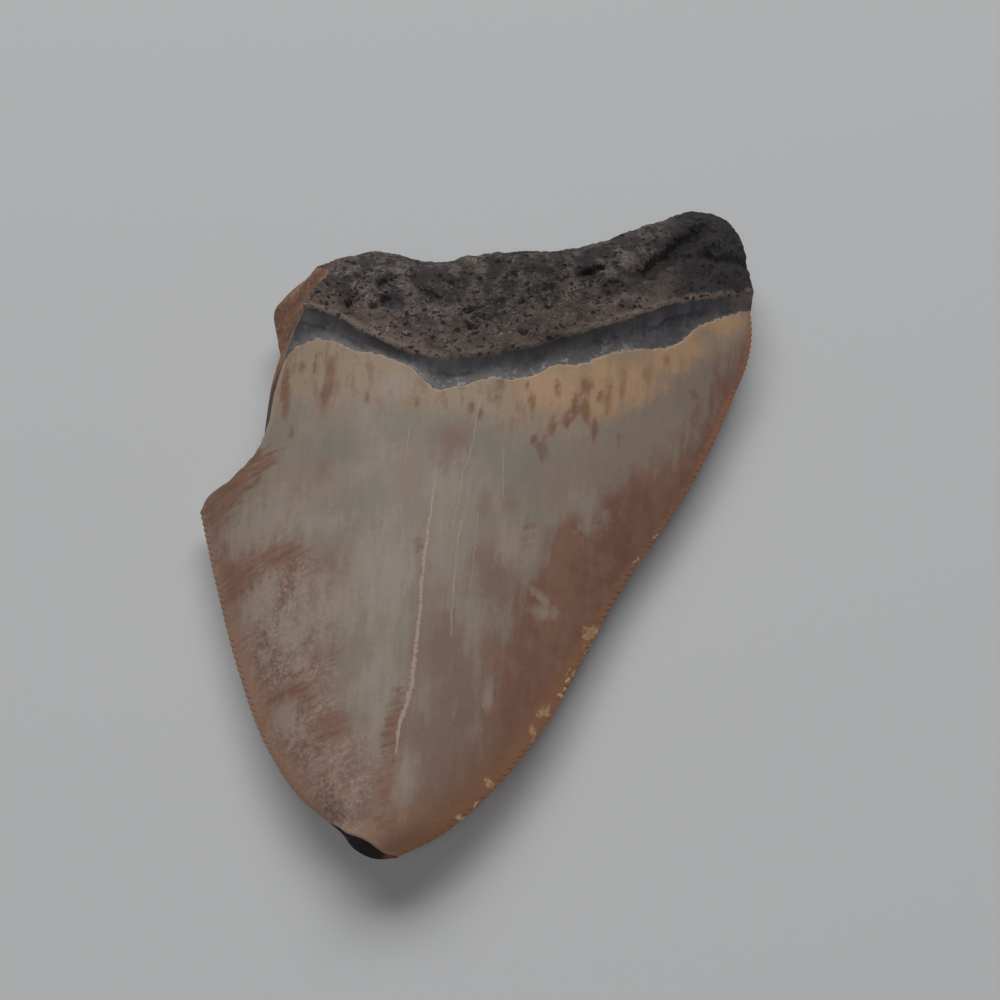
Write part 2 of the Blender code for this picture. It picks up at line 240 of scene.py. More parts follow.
# The hollows of the root, as (x, y, half length, half width, turn in degrees, depth).
ROOT_HOLLOWS = [
    (-14.8, 19.9, 1.2, 0.8, 30, 0.8), (-15.6, 22.3, 1.4, 0.5, 35, 0.5), (-18.6, 22.9, 1.1, 0.4, 15, 0.4),
    (-16.9, 23.8, 0.5, 0.4, 0, 0.4), (-19.4, 19.5, 0.4, 0.35, 0, 0.6), (-16.4, 18.9, 0.55, 0.4, 20, 0.5),
    (-12, 17, 0.25, 0.9, 12, 0.4), (-11, 21.3, 0.6, 0.5, 30, 0.5), (-9.5, 20.6, 1.4, 0.35, -5, 0.5),
    (-5, 21.7, 0.35, 0.35, 0, 0.5), (-1.6, 20.8, 1.4, 0.55, 45, 0.6), (0.6, 21.3, 0.4, 0.35, 0, 0.5),
    (-5.6, 18.9, 1.3, 0.3, 20, 0.4), (-3.6, 18.3, 1.1, 0.3, -15, 0.4), (-4.8, 16.8, 0.35, 0.3, 0, 0.5),
    (-3.9, 16.9, 0.35, 0.3, 0, 0.5), (-8, 18.1, 0.3, 0.45, 0, 0.4), (-1.6, 16.6, 0.4, 0.3, 0, 0.5),
    (1.1, 17, 0.5, 0.4, 0, 0.5), (1.3, 19, 0.4, 0.35, 0, 0.5), (-2.4, 26.9, 0.6, 0.35, 0, 0.4),
    (-5.4, 25.9, 0.9, 0.25, 5, 0.3), (8.6, 26.9, 1.9, 0.5, 34, 0.8), (5.2, 24.8, 0.5, 0.4, 0, 0.4),
    (9.4, 23.6, 0.35, 0.3, 0, 0.4), (11.4, 25.8, 0.9, 0.45, 25, 0.5), (11, 23.2, 0.7, 0.25, 15, 0.3),
    (2.6, 22.4, 1.1, 0.25, 30, 0.3), (10.8, 31.4, 0.7, 0.4, 30, 0.3), (16, 26.6, 0.9, 0.5, 30, 0.3),
]

# The two grooves of the root's right lobe, as points along each, with its half width and its depth.
LOBE_GROOVES = [
    ([(13, 27), (14.7, 28.1), (16.7, 30.8), (19.2, 34.2), (22.6, 38.8)], 1, 1),
    ([(20.4, 33.6), (22.1, 33.8), (24.6, 34.6), (27.5, 36.6)], 0.8, 0.5),
]

# The long crack of the blade as (y, x), and its width as (y, width).
long_crack = Profile([
    (-33.2, -7.4), (-32.4, -7.6), (-30.3, -7.6), (-28.3, -7.2), (-25.1, -6.8), (-20.9, -6.8), (-16.5, -6.9),
    (-12.1, -7), (-8.6, -7), (-3.2, -6.9), (-0.3, -6.9), (2.2, -7), (5, -6.9),
])
long_crack_width = Profile([
    (-33.2, 0), (-32, 0.22), (-29, 0.46), (-25, 0.5), (-20, 0.36), (-14, 0.3), (-8, 0.22), (-3, 0.12),
    (0, 0.06), (5, 0),
])

# Hair cracks of the blade, each as its width and its (y, x) points.
HAIR_CRACKS = [
    (0.14, [(-20.4, -3.3), (-17.2, -3.5), (-13.9, -3.6), (-10.7, -3.7), (-7, -3.5)]),
    (0.1, [(-7.7, -4.3), (-4.8, -4.1), (-1.7, -3.9), (0.9, -3.4), (3.2, -3.2), (6.2, -3), (8.6, -2.9)]),
    (0.09, [(-10.4, -5.5), (-7.3, -5.7), (-5, -5.8)]),
    (0.09, [(-3.9, 0.8), (-1.6, 0.5), (0.8, 0.3), (2.5, 0)]),
    (0.08, [(-14.7, -1.9), (-11.3, -1.8), (-8.5, -1.8), (-5.6, -1.9)]),
    (0.08, [(-1, -10.3), (1.3, -10.3), (3.9, -10.4), (5.4, -10.3)]),
    (0.08, [(8.4, 6.5), (10.2, 6.3), (13.2, 6)]),
]

# ---- the stains ----

# The growth lines fan out slightly towards the tip from a middle line and a foot.
FAN_MIDDLE = -7.2
FAN_FOOT = 10
FAN_OUT = 0.004

# The cream band under the enamel's upper rim: where it ends, as (x, y).
cream_foot = Profile([
    (-28, 7.6), (-23.5, 7.2), (-19.8, 5.8), (-16.3, 6.3), (-11.7, 5.6), (-8.3, 5.4), (-3.8, 5.2),
    (-0.4, 4.8), (6.9, 4.8), (9.6, 6.5), (12.4, 8.8), (15.2, 11.6), (17.5, 14.3), (21, 18.8), (24.7, 23),
    (28, 26.9),
])

# The red-brown right side of the blade: where it begins, as (y, x), and how softly, as (y, width).
rust_side = Profile([
    (-44, -12), (-38.6, -9), (-37, -4.7), (-35.2, -2.9), (-32.9, -1.7), (-30.7, -0.4), (-28.1, 0.2),
    (-24.9, 0.6), (-21.7, 0.9), (-19.2, 2.5), (-15.8, 3), (-13.5, 3.3), (-11.5, 4.8), (-9, 5.7),
    (-6.1, 5.9), (-4.6, 7), (-3.2, 8), (-2.1, 9.6), (-0.4, 11.2), (1.9, 13.1), (4, 15.7), (7, 18.9),
    (11.1, 21.4), (15.5, 23.2), (20.1, 25.1), (23.4, 26.7), (30, 29.5),
])
rust_softness = Profile([(-44, 3), (-26, 2.2), (-14, 1.4), (-4, 1.4), (2, 3), (10, 3.4), (24, 1.8)])

# The red-brown stain along the left edge: where it ends, as (y, x).
left_rust = Profile([
    (-44, -16), (-36, -20.5), (-30, -23), (-24, -26), (-20, -26.6), (-16, -26.2), (-12.5, -25.4),
    (-10, -26), (-7.5, -27.8), (-5, -29.2), (-3, -28), (-1.2, -26.8), (1.2, -26.8), (3, -28), (6, -32),
])

# The speckled mauve left side of the blade: where it ends, as (y, x).
mauve_side = Profile([
    (-44, -7.5), (-36.4, -7.9), (-34, -8.5), (-31.6, -9.8), (-29.6, -11.6), (-26.6, -13.1), (-22.4, -13.4),
    (-19.2, -14.2), (-17, -15.2), (-13.6, -15.6), (-11.4, -17.6), (-10, -20.5), (-8.7, -26), (-7.2, -31),
    (-2, -42),
])

# Spots by what they are made of, as (x, y, half width, half length and a turn in degrees). The last two lie
# where the right cutting edge is bare and where it flakes.
SPOTS = {
    "rust_spot": [(-22.8, -11.2, 2.6, 1.3, 18), (-23.2, -7.6, 1.9, 0.5, 60), (-26.8, 0, 2, 1.2, 40),
        (-7.9, -10.4, 0.5, 1.2), (-8.3, -30.2, 0.75, 3.6, -4), (-8, -35.8, 1.1, 3.6), (3.6, -7.6, 0.8, 1.8),
        (-28.4, -19, 1.4, 1.2, 20), (-16.2, -22.4, 1.6, 1.1), (-14.2, -30.2, 1.8, 1.3, 20),
        (-20.2, -27.6, 3, 1.7, 20)],
    "faint": [(-1.2, -5, 0.7, 1.4), (1.4, -4.2, 0.8, 1.3), (2.2, -7.6, 0.6, 1.3), (-19.6, -1.6, 0.9, 1.6),
        (-16.4, -13, 2, 2), (0.4, -16.4, 0.5, 1.4), (-3.2, -22, 0.6, 2.4)],
    "haze": [(-25.8, -7, 5.2, 2.9, 15), (-18.6, -19, 4.2, 3.4, 20), (-24.6, -16.2, 2.6, 2.2, 20),
        (-10.8, -26.2, 1.7, 3.4), (2.4, -8.6, 2, 2.4), (-12.7, 8.9, 1.6, 1.6), (5.6, -13.7, 1.2, 0.42, -35),
        (6.1, -15.2, 1.6, 0.6, 10), (10, -2.6, 1.6, 2.2), (-6.3, -34.9, 0.9, 2.6), (0.9, -25.2, 0.5, 1.6),
        (-11.4, -13, 3.2, 5.4), (-19.6, -29, 1.8, 1.4), (-19, -8, 2.4, 1.6)],
    "cool": [(-6.2, 3.2, 3, 3.6), (-1.6, 3, 3.2, 4), (-11, 4.6, 2.8, 2.8), (-18.8, 0.8, 4, 2.4),
        (2.2, 0.4, 3.4, 3.4), (-14, -7, 5, 4), (-4.6, 3.4, 2.6, 3.4)],
    "rose": [(16.4, 8.4, 6.6, 3.8, 50), (11, 2.6, 4.6, 4, 30), (21.4, 16, 5, 2.1, 60),
        (4.6, -19.6, 2.4, 2.4), (-21.4, -3, 3.4, 3), (-9.8, -3, 1.4, 4), (-17, -12.6, 3, 2.4),
        (0.4, -11.8, 4.2, 4.4), (7.4, -0.4, 2.4, 3), (-9.6, 8.8, 2.4, 2)],
    "dusk": [(-2, -26.6, 3.2, 6.4), (-3.6, -33.4, 4, 5.6), (-4.2, -21.6, 2.2, 4.6), (-10.6, -37, 3.4, 3),
        (1, -20.4, 1.4, 2.4), (-4.4, -31.2, 3.4, 3.6), (-3.7, -37.2, 4.4, 4), (-19.6, -27.4, 2.6, 2.4),
        (1.4, -26, 2.4, 6.4), (0.2, -32.4, 2.6, 4.4), (0.6, -12.2, 2.2, 3.6), (-5.4, 2.8, 1.8, 2.8)],
    "amber": [(14.6, 13.6, 3.6, 2.6, 40), (19.4, 19.4, 5, 2.2, 42), (10.2, 12.4, 3.8, 3.4, 20),
        (25.4, 25.8, 3.6, 1.8, 45), (5, 10.8, 3.4, 2.6, 10)],
    "bare_edge": [(11.8, -15.1, 1.4, 0.45, 20), (11, -16, 0.7, 0.4, 30), (6.8, -25.4, 0.8, 0.5, 35),
        (5.8, -27.5, 0.4, 0.5), (1.9, -33.9, 0.5, 0.4, -45)],
    "flaking": [(10.2, -17, 1.1, 3.2, -26), (8, -22, 1, 3.4, -26), (3.8, -30, 0.9, 3, -38),
        (-0.4, -36.6, 0.8, 2.6, -50), (17, -3.6, 0.7, 2.6, -28), (26, 19, 0.7, 2.6, -14)],
}

# Red-brown streaks in the cream band, as (x, top y, foot y, half width).
STREAKS = [
    (-0.8, 11.2, 7.6, 0.55), (2.9, 9.8, 7.3, 0.4), (2.2, 11, 9.8, 0.25), (5.6, 12, 9.2, 0.35),
    (8.8, 13.6, 10.4, 0.9), (6.9, 8.4, 6, 0.4), (5.5, 7.6, 4.3, 0.35), (4.5, 4.6, 1.4, 0.65),
    (-9.8, 8, 5.8, 0.32), (-2.7, 6.9, 5, 0.35), (7.8, 10.6, 7.3, 0.5), (8.9, 10.8, 7, 0.6),
    (10.6, 12, 10.2, 0.4), (-3.9, 7.8, 6, 0.3), (3.4, 4.8, 3.2, 0.4), (-20.5, 12.2, 5.4, 0.6),
    (-25.6, 11.4, 7.4, 0.5), (-25.1, 8.6, 5.2, 0.5), (-24, 4.4, 2.4, 0.35), (-22.4, 13, 9.8, 0.3),
    (-15.8, 8.5, 6.3, 0.25), (-13, 8.5, 7.4, 0.35), (-23.8, 12.6, 10.8, 0.5), (13.1, 16, 11.4, 0.45),
    (15.6, 16.6, 14.6, 0.35), (16.1, 17.3, 13.8, 0.4), (18.1, 18.8, 17.4, 0.4), (11.5, 13.6, 9.6, 0.5),
    (10.2, 8.2, 5.7, 0.4), (21.8, 16, 15, 0.7), (13, 8, 5.4, 0.3),
]


# ---- the colours ----


def colour(red, green, blue):
    """A colour given as 0-255 values, as the shader wants it."""
    parts = [value / 255 for value in (red, green, blue)]
    return [p / 12.92 if p <= 0.04045 else ((p + 0.055) / 1.055) ** 2.4 for p in parts] + [1.0]


def palette(**tints):
    return SimpleNamespace(**{name: colour(*tint) for name, tint in tints.items()})


ENAMEL = palette(
    grey=(144, 132, 119), pale=(154, 142, 130), cool=(129, 122, 112), rose=(148, 129, 118),
    haze=(163, 149, 138), cream=(160, 139, 117), umber=(145, 119, 100), amber=(184, 150, 118),
    streak=(122, 84, 67), rust=(143, 108, 91), deep_rust=(133, 98, 83), mauve=(155, 129, 116),
    dusk=(134, 107, 95), faint=(134, 107, 95), pink=(163, 138, 125), tip=(138, 106, 87), lip=(178, 160, 138),
    filling=(176, 161, 146), hairline=(172, 160, 146),
)
EDGE = palette(
    tan=(166, 131, 108), orange=(166, 118, 88), tick=(98, 66, 48), bone=(220, 192, 154),
    bare=(184, 142, 106),
)
NECK = palette(slate=(90, 87, 91), dark=(65, 63, 67), ash=(104, 101, 98), flake=(154, 150, 147))
# the darkest root colour is painted shade, for the root's pits, hollows and cracks and the neck's groove
ROOT = palette(
    brown=(104, 95, 91), dark=(58, 54, 54), coal=(48, 45, 46), blue=(58, 58, 66), red=(112, 95, 88),
    tan=(132, 119, 110), pit=(28, 25, 25), lip_tan=(134, 117, 106), speck=(158, 150, 144),
)
BREAK = palette(
    orange=(172, 128, 100), brown=(132, 98, 80), slate=(74, 66, 64), black=(32, 24, 22),
    red=(138, 72, 50),
)


# ---- slopes and roughness ----


def smooth_step(value, low, high):
    t = np.clip((value - low) / (high - low), 0.0, 1.0)
    return t * t * (3 - 2 * t)


def soft_minimum(a, b, blend=0.5):
    share = np.clip(0.5 + 0.5 * (b - a) / blend, 0.0, 1.0)
    return b + (a - b) * share - blend * share * (1 - share)


def rounded(distance, radius):
    """0 at a rim and 1 past the radius, along a quarter circle."""
    short = 1 - np.minimum(distance / radius, 1.0)
    return np.sqrt(np.maximum(0.0, 1 - short * short))


def roughness_of(points, size, octaves):
    """Smooth random heights between about -1 and 1, with bumps of the given size."""
    return np.array([noise.fractal(Vector(point) / size, 1.0, 2.0, octaves) for point in points])


def pores(points, spacing):
    """1 in the middle of scattered round pores and 0 between them."""
    found = [noise.voronoi(Vector(point) / spacing)[0][0] for point in points]
    return 1 - smooth_step(np.array(found), 0.08, 0.26)


# ---- the plan ----


class Places:
    """Where the sheets' points lie on the tooth: their plan, their distances and their fullness."""

    def __init__(self, column, row, outer):
        self.row = row
        self.outer = outer
        share = column / COLUMNS
        self.across = share - RIM_CROWDING * np.sin(2 * np.pi * share) / (2 * np.pi)
        self.find_section()
        self.find_plan()
        self.find_sides()

    def find_section(self):
        """The stretch that each point lies in, 0 blade, 1 neck or 2 root, and how far along it."""
        neck = np.clip((self.row - BLADE_ROWS) / NECK_ROWS, 0.0, 1.0) ** NECK_CROWDING
        root = np.sin(np.clip((self.row - NECK_TOP) / ROOT_ROWS, 0.0, 1.0) * np.pi / 2)
        self.section = (self.row > BLADE_ROWS) * 1 + (self.row > NECK_TOP) * 1
        self.along = np.choose(self.section, [np.minimum(self.row / BLADE_ROWS, 1.0), neck, root])

    def find_plan(self):
        self.left = self.pick([self.left_blade_rim()] + [line(self.along) for line in lobe_break])
        self.right = self.pick([line(self.along) for line in [right_cutting_edge] + right_lobe])
        inner, outer = self.plan_between(INNER_LINES), self.plan_between(OUTER_LINES)
        self.xy = np.where(self.outer[:, None], outer, inner)

    def pick(self, choices):
        return np.choose(self.section[:, None], choices)

    def left_blade_rim(self):
        row = self.along * BLADE_ROWS
        below = left_cutting_edge(row / SHOULDER_ROW)
        above = shoulder_break((row - SHOULDER_ROW) / (BLADE_ROWS - SHOULDER_ROW))
        return np.where(row[:, None] <= SHOULDER_ROW, below, above)

    def plan_between(self, lines):
        along, across = self.along[:, None], self.across[:, None]

        def between(read):
            low = self.pick([read(line) for line in lines[:3]])
            high = self.pick([read(line) for line in lines[1:]])
            return low + (high - low) * along

        start, end = between(lambda line: line(0.0)[None]), between(lambda line: line(1.0)[None])
        middle = between(lambda line: line(self.across))
        sides = self.left + (self.right - self.left) * across
        return middle + sides - (start + (end - start) * across)

    def find_sides(self):
        self.x, self.y = self.xy.T
        self.flat = np.stack([self.x, self.y, 0 * self.x], axis=1)
        self.rim = rim_height(self.y)
        self.broken = self.row > SHOULDER_ROW
        self.from_left = np.hypot(*(self.xy - self.left).T)
        self.from_right = np.hypot(*(self.xy - self.right).T)
        self.from_tip = np.hypot(*(self.xy - tip_chip(self.across)).T)
        self.from_base = np.hypot(*(self.xy - root_base(self.across)).T)
        left, right = left_side(self.y), right_side(self.y)
        share = (self.x - left) / (right - left)
        self.fullness = np.maximum(0.0, 4 * share * (1 - share)) ** sharpness(self.row)

    def past(self, inner_line, outer_line):
        """How far each point lies beyond a line that crosses the tooth, towards the root."""
        line_y = np.where(self.outer, outer_line.y_at(self.x), inner_line.y_at(self.x))
        return (self.y - line_y) * np.where(self.outer, OUTER_SLANT, INNER_SLANT)


# ---- the heights ----


def inner_height(place, past_enamel):
    """The bulging inner face before its relief, what the breaks took off it and how far off they are."""
    z = place.rim + (crest_height(place.y) - place.rim) * place.fullness
    fade = np.where(place.section == 1, 1 - place.along, 1.0) * (place.section < 2)
    z -= ENAMEL_STEP * fade * smooth_step(past_enamel, *ENAMEL_STEP_RUN)
    z -= NECK_HOLLOW * np.sin(np.pi * place.along) * (place.section == 1)
    lump = roughness_of(place.flat, ROOT_LUMP_SIZE, 3)
    z += ROOT_LUMP * lump * np.minimum(1.0, 3 * place.along) * (place.section == 2)
    base = rounded(place.from_base, BASE_ROUNDING_INNER)
    z = np.where(place.section == 2, place.rim + (z - place.rim) * base, z)
    whole = z
    slope = break_top_rise(place.y) / break_run(place.y)
    z = np.where(place.broken, soft_minimum(z, place.rim + slope * place.from_left), z)
    z = soft_minimum(z, place.rim + CHIP_RISE * place.from_tip / CHIP_RUN)
    from_break = np.where(place.broken, place.from_left - (whole - place.rim) / slope, FAR_OFF)
    from_chip = place.from_tip - (whole - place.rim) * CHIP_RUN / CHIP_RISE
    return z, whole - z, np.minimum(from_break, from_chip)


def outer_height(place):
    """The flatter outer face, which the tooth lies on."""
    z = place.rim + (belly_height(place.y) - place.rim) * place.fullness
    base = rounded(place.from_base, BASE_ROUNDING_OUTER)
    z = np.where(place.section == 2, place.rim + (z - place.rim) * base, z)
    drop = BREAK_FOOT_DROP * rounded(place.from_left, break_foot_run(place.y))
    z = np.where(place.broken, np.maximum(z, place.rim - drop), z)
    return np.maximum(z, FLOOR)


# ---- the sheets ----


def cut(sheet, pieces, wanted):
    """Cuts each edge that is wanted, by its middle and its direction, into a number of pieces."""
    chosen = []
    for edge in sheet.edges:
        a, b = edge.verts[0].co, edge.verts[1].co
        if wanted((a + b) / 2, abs(a.x - b.x) < 1e-4, edge.is_boundary):
            chosen.append(edge)
    bmesh.ops.subdivide_edges(sheet, edges=chosen, cuts=pieces - 1, use_grid_fill=True)


def beside_cutting_edge(middle):
    """Whether an edge lies on, or two fine columns in from, a serrated rim."""
    right = middle.x > COLUMNS - 0.6 and middle.y < BLADE_ROWS
    left = middle.x < 0.6 and middle.y < SHOULDER_ROW
    return right or left


def flat_sheet(fine):
    """One face as a flat sheet, whose x is the column and whose y is the row of each point."""
    sheet = bmesh.new()
    bmesh.ops.create_grid(sheet, x_segments=COLUMNS, y_segments=ROWS, size=0.5)
    for vert in sheet.verts:
        vert.co = Vector((round((vert.co.x + 0.5) * COLUMNS), round((vert.co.y + 0.5) * ROWS), 0))
    cut(sheet, 2, lambda middle, upright, rim: True)
    cut(sheet, 2, lambda middle, upright, rim: upright)
    if fine:
        cut(sheet, 2, lambda middle, upright, rim: not upright and middle.y > TIP_ROW)
        cut(sheet, 2, lambda middle, upright, rim: middle.y >= BLADE_ROWS - 1)
    else:
        cut(sheet, 4, lambda middle, upright, rim: rim and not upright and middle.y > ROWS - 0.01)
        cut(sheet, 2, lambda middle, upright, rim: rim and upright and middle.y >= BLADE_ROWS - 1)
    cut(sheet, 3, lambda middle, upright, rim: upright and beside_cutting_edge(middle))
    corners = [face for face in sheet.faces if sum(edge.is_boundary for edge in face.edges) > 1]
    bmesh.ops.poke(sheet, faces=corners)
    bmesh.ops.triangulate(sheet, faces=sheet.faces)
    return sheet


def flat_tooth():
    """Both sheets welded along their rim, with the inner one at height 0."""
    both = flat_sheet(fine=True)
    outer = flat_sheet(fine=False)
    bmesh.ops.reverse_faces(outer, faces=outer.faces)
    for vert in outer.verts:
        vert.co.z = OUTER_AT
    spare = bpy.data.meshes.new("outer_sheet")
    outer.to_mesh(spare)
    outer.free()
    both.from_mesh(spare)
    bpy.data.meshes.remove(spare)
    rim = [vert for vert in both.verts if vert.is_boundary]
    for vert in rim:
        vert.co.z = RIM_AT
    bmesh.ops.remove_doubles(both, verts=rim, dist=1e-4)
    mesh = bpy.data.meshes.new("fossil_tooth")
    both.to_mesh(mesh)
    both.free()
    return mesh


# ---- the relief ----


def spot(x, y, centre_x, centre_y, half_width, half_length, turn=0):
    """1 in the middle of an ellipse, 0.5 on its outline and 0 well outside it."""
    c, s = math.cos(math.radians(turn)), math.sin(math.radians(turn))
    u = (c * (x - centre_x) + s * (y - centre_y)) / half_width
    v = (c * (y - centre_y) - s * (x - centre_x)) / half_length
    return np.clip(1 - 0.5 * np.hypot(u, v), 0, 1)


def spots(x, y, group):
    return np.max([spot(x, y, *one) for one in group], axis=0)


def notch(row):
    """1 in a notch between two serrations and 0 on a serration's point."""
    return 0.5 - 0.5 * np.cos(2 * np.pi * SERRATIONS_PER_ROW * row)


def edge_distance(place):
    """How far each point of the blade lies from the nearer serrated edge."""
    left = np.where(place.row <= SHOULDER_ROW, place.from_left, left_cutting_edge.distance(place.xy))
    return np.where(place.section == 0, np.minimum(left, place.from_right), NO_EDGE)


def crack_offset(place, line):
    """How far to the side of a crack each point lies, or far off past its ends."""
    inside = (place.y > line.at[0]) & (place.y < line.at[-1]) & ~place.outer
    return np.where(inside, place.x - line(place.y), FAR_OFF)


def root_relief(place, points, past_root):
    """The rough, porous root: grain, pores, ragged hollows, grooves and the lip along the neck."""
    on_root = smooth_step(past_root, -0.05, 0.3)
    # The points are shifted by 40, 10 and 20 mm so that these noises differ from one another.
    grain = ROOT_GRAIN * roughness_of(points, ROOT_GRAIN_SIZE, 4)
    porous = smooth_step(roughness_of(points + 40.0, POROUS_PATCH, 2), -0.25, 0.2)
    holes = PORE_DEPTH * pores(points, PORE_SPACING) * porous
    x = place.x + HOLLOW_WARP * roughness_of(points + 10.0, HOLLOW_WARP_SIZE, 3)
    y = place.y + HOLLOW_WARP * roughness_of(points + 20.0, HOLLOW_WARP_SIZE, 3)
    hollow = np.zeros(len(points))
    for *ellipse, depth in ROOT_HOLLOWS:
        hollow = np.maximum(hollow, depth * smooth_step(spot(x, y, *ellipse), 0.35, 0.80))
    for line, half_width, depth in LOBE_GROOVES:
        near = Outline(line).distance(np.stack([x, y], axis=1)) / half_width
        begun = smooth_step(x, line[0][0] - 0.5, line[0][0] + GROOVE_FADE)
        hollow = np.maximum(hollow, depth * np.exp(-near * near) * begun)
    lip = ROOT_LIP * np.exp(-np.maximum(past_root, 0) / LIP_REACH)
    sunk = holes + np.where(place.outer, 0.0, hollow)
    return on_root * (grain - sunk + lip), on_root * sunk


def blade_relief(place, edge):
    """The serrations' grooves, which fade out up the blade."""
    groove = SERRATION_GROOVE * notch(place.row) * np.exp(-edge / SERRATION_REACH) * (edge > 0.01)
    return -groove * (place.section == 0)


# ---- the tooth ----


def read_vectors(collection, name):
    """One vector of three numbers for each member of a mesh's collection."""
    values = np.zeros(len(collection) * 3, np.float32)
    collection.foreach_get(name, values)
    return values.reshape(-1, 3).astype(float)


def write_points(mesh, points):
    mesh.vertices.foreach_set("co", points.astype(np.float32).ravel())
    mesh.update()


def add_object(name, data):
    added = bpy.data.objects.new(name, data)
    bpy.context.scene.collection.objects.link(added)
    return added


def plan_centre():
    """The middle of the outline in plan, which stands over the origin."""
    rims = [right_cutting_edge, left_cutting_edge, shoulder_break, tip_chip, root_base]
    xy = np.concatenate([rim.xy for rim in rims + lobe_break + right_lobe])
    return (xy.min(axis=0) + xy.max(axis=0)) / 2


def serrated(place, column, on_rim):
    """The plan with its cutting edges drawn in at each notch, towards the opposite edge."""
    on_right = column > COLUMNS / 2
    serrated_rows = np.where(on_right, BLADE_ROWS, SHOULDER_ROW)
    on_edge = on_rim & (column != COLUMNS / 2) & (place.row <= serrated_rows) & (place.row > 0)
    across = np.where(on_right[:, None], place.left, place.right) - place.xy
    inward = across / np.maximum(np.hypot(*across.T), 1e-6)[:, None]
    return place.xy + inward * (SERRATION_DEPTH * notch(place.row) * on_edge)[:, None]


def build_tooth():
    mesh = flat_tooth()
    column, row, side = read_vectors(mesh.vertices, "co").T
    on_rim = np.isclose(side, RIM_AT)
    place = Places(column, row, np.isclose(side, OUTER_AT))
    past_enamel = place.past(INNER_LINES[1], OUTER_LINES[1])
    past_root = place.past(INNER_LINES[2], OUTER_LINES[2])
    past_enamel = past_enamel + RIM_RAGGEDNESS * roughness_of(place.flat, RIM_RAGGEDNESS_SIZE, 4)
    inner, taken, brink = inner_height(place, past_enamel)
    z = np.where(place.outer, outer_height(place), inner)
    z = np.where(on_rim, place.rim, z)
    edge = edge_distance(place)
    points = np.concatenate([serrated(place, column, on_rim), z[:, None]], axis=1)
    write_points(mesh, points)
    rough, sunk = root_relief(place, points, past_root)
    broken = np.where(place.outer, 0.0, smooth_step(taken, 0.05, 0.5))
    relief = np.where(place.section > 0, rough * (1 - RELIEF_LOST_IN_BREAK * broken), 0.0)
    relief = np.where(on_rim & (place.section < 2), 0.0, relief + blade_relief(place, edge))
    points = points + read_vectors(mesh.vertex_normals, "vector") * relief[:, None]
    points[:, :2] -= plan_centre()
    low, high = (np.array(corner) / MM for corner in cad_box)
    points[:, 2] = soft_minimum(points[:, 2], high[2])
    write_points(mesh, np.clip(points, low, high) * MM)

    brink = np.where(place.outer, FAR_OFF, np.clip(brink - RIM_IN_BREAK * on_rim, -FAR_OFF, FAR_OFF))
    fields = {"past_enamel": past_enamel, "past_root": past_root, "edge": edge, "sunk": sunk, "brink": brink,
              "notch": row * SERRATIONS_PER_ROW, **stain_fields(place), **crack_fields(place)}
    for name, values in fields.items():
        data = mesh.attributes.new(name, "FLOAT", "POINT").data
        data.foreach_set("value", np.asarray(values, np.float32))
    mesh.shade_smooth()
    mesh.set_sharp_from_angle(angle=math.radians(60))
    return add_object("fossil_tooth", mesh)


def stain_fields(place):
    """Numbers for each point of the mesh that say how deep it lies in each stain."""
    x, y = place.x, place.y
    streaks = [(at, (top + foot) / 2, half, (top - foot) / 2) for at, top, foot, half in STREAKS]
    depths = {"cream": y - cream_foot(x), "left_rust": left_rust(y) - x, "mauve": mauve_side(y) - x}
    return {
        "across": (x - FAN_MIDDLE) * (1 + FAN_OUT * (FAN_FOOT - y)),
        "along": y,
        "sideways": x,
        "rust": np.clip((x - rust_side(y)) / rust_softness(y), -5, 5),
        "streak": spots(x, y, streaks),
        **{name: np.clip(depth, -FAR_OFF, FAR_OFF) for name, depth in depths.items()},
        **{name: spots(x, y, group) for name, group in SPOTS.items()},
    }


def crack_fields(place):
    fields = {"long_crack": crack_offset(place, long_crack), "long_crack_width": long_crack_width(place.y)}
    for number, (_, points) in enumerate(HAIR_CRACKS):
        fields[f"hair_crack_{number}"] = crack_offset(place, Profile(points))
    return fields


# ---- the material ----

NECK_ROUGHNESS = (0.5, 0.5, 0.5, 1)
ROOT_ROUGHNESS = (0.86, 0.86, 0.86, 1)
SHEEN = 0.32
ENAMEL_BUMP_STRENGTH = 0.35
ENAMEL_BUMP = 0.1 * MM
ROOT_BUMP = 0.21 * MM


